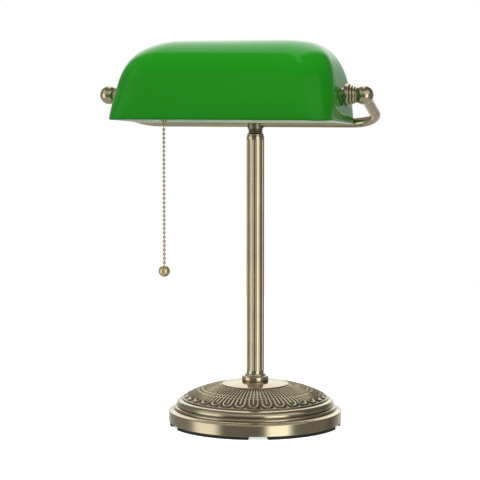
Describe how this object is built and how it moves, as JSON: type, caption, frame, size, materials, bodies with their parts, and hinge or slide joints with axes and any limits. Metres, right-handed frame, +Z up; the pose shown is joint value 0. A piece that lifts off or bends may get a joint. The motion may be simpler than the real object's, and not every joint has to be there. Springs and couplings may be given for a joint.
{
  "type": "banker desk lamp",
  "caption": "Desk lamp with a round weighted foot, fluted stem, tube yoke, tilting long cased-glass shade and a bead pull chain.",
  "frame": {"origin": "on the stem's axis, in the plane that the lamp stands on", "axes": "+X to the lamp's right, +Y to its back, +Z up the stem"},
  "size_m": [0.2726, 0.2295, 0.3828],
  "materials": {
    "antique_brass": "brushed antique brass, lacquered",
    "dark_brass": "dark patinated brass",
    "bright_brass": "plated brass",
    "green_glass": "cased glass, green outside and opal white inside",
    "opal_glass": "frosted opal",
    "zinc_steel": "zinc plated",
    "cast_weight": "as cast",
    "black_plate": "satin black paint",
    "black_rubber": "matte",
    "black_plastic": "moulded",
    "brown_plastic": "moulded",
    "clear_lead": "translucent flex",
    "liner_card": "pressed fibre",
    "plain_aluminium": "rolled",
    "contact_metal": "bare",
    "bulb_ceramic": "white"
  },
  "bodies": {
    "frame": {"foot_cover": "antique_brass", "bottom_plate": "black_plate", "foot_pads": "black_rubber", "foot_weight": "cast_weight", "cord_inlet_bush": "black_plastic", "lock_washer": "zinc_steel", "rod_nut": "zinc_steel", "threaded_rod": "zinc_steel", "foot_collar": "antique_brass", "stem_tube": "antique_brass", "neck_ring": "antique_brass", "ribbed_collar": "dark_brass", "yoke_saddle": "antique_brass", "yoke_tube": "antique_brass", "left_hub": "antique_brass", "right_hub": "antique_brass", "lead_wire": "clear_lead"},
    "shade": {"glass_shade": "green_glass", "left_pivot_nipple": "zinc_steel", "right_pivot_nipple": "zinc_steel", "left_outer_washer": "black_rubber", "right_outer_washer": "black_rubber", "left_inner_washer": "black_rubber", "right_inner_washer": "black_rubber", "left_pivot_nut": "zinc_steel", "right_pivot_nut": "zinc_steel", "holder_cap": "bright_brass", "holder_shell": "bright_brass", "chain_spout": "bright_brass", "switch_body": "black_plastic", "cam_pin": "zinc_steel", "screw_shell": "plain_aluminium", "liner": "liner_card", "centre_contact": "contact_metal"},
    "left_clamp": {"left_clamp_collar": "antique_brass"},
    "right_clamp": {"right_clamp_collar": "antique_brass"},
    "bulb": {"bulb_glass": "opal_glass", "bulb_cap": "plain_aluminium", "bulb_contact": "contact_metal", "bulb_stem": "bulb_ceramic"},
    "cam": {"switch_cam": "brown_plastic"},
    "pull": {"pull_wire": "bright_brass"},
    "cup": {"chain_cup": "bright_brass"},
    "chain": {"chain_beads": "bright_brass", "chain_links": "bright_brass", "end_ball": "bright_brass"}
  },
  "joints": [
    {"name": "shade_tilt", "type": "hinge", "parent": "frame", "child": "shade", "pos_m": [0, -0.073, 0.331], "axis": [1, 0, 0], "range_deg": [-35, 40]},
    {"name": "left_clamp_turn", "type": "hinge", "parent": "shade", "child": "left_clamp", "pos_m": [0, -0.073, 0.331], "axis": [1, 0, 0], "continuous": true},
    {"name": "right_clamp_turn", "type": "hinge", "parent": "shade", "child": "right_clamp", "pos_m": [0, -0.073, 0.331], "axis": [1, 0, 0], "continuous": true},
    {"name": "bulb_turn", "type": "hinge", "parent": "shade", "child": "bulb", "pos_m": [0, -0.073, 0.331], "axis": [1, 0, 0], "range_deg": [0, 720]},
    {"name": "chain_pull", "type": "slide", "parent": "shade", "child": "pull", "axis": [0, 0, -1], "range_m": [0, 0.006], "stiffness_N_per_m": 400, "springref_m": -0.002},
    {"name": "cam_turn", "type": "hinge", "parent": "shade", "child": "cam", "pos_m": [-0.07102, -0.073, 0.331], "axis": [1, 0, 0], "range_deg": [0, 46]},
    {"name": "chain_swing_fore", "type": "hinge", "parent": "pull", "child": "cup", "pos_m": [-0.07102, -0.073, 0.3103], "axis": [1, 0, 0], "range_deg": [-15, 15]},
    {"name": "chain_swing_side", "type": "hinge", "parent": "cup", "child": "chain", "pos_m": [-0.07102, -0.073, 0.3059], "axis": [0, 1, 0], "range_deg": [-15, 15]}
  ],
  "couplings": [
    {"joint": "cam_turn", "follows": "chain_pull", "rad_per_m": 130.9}
  ]
}
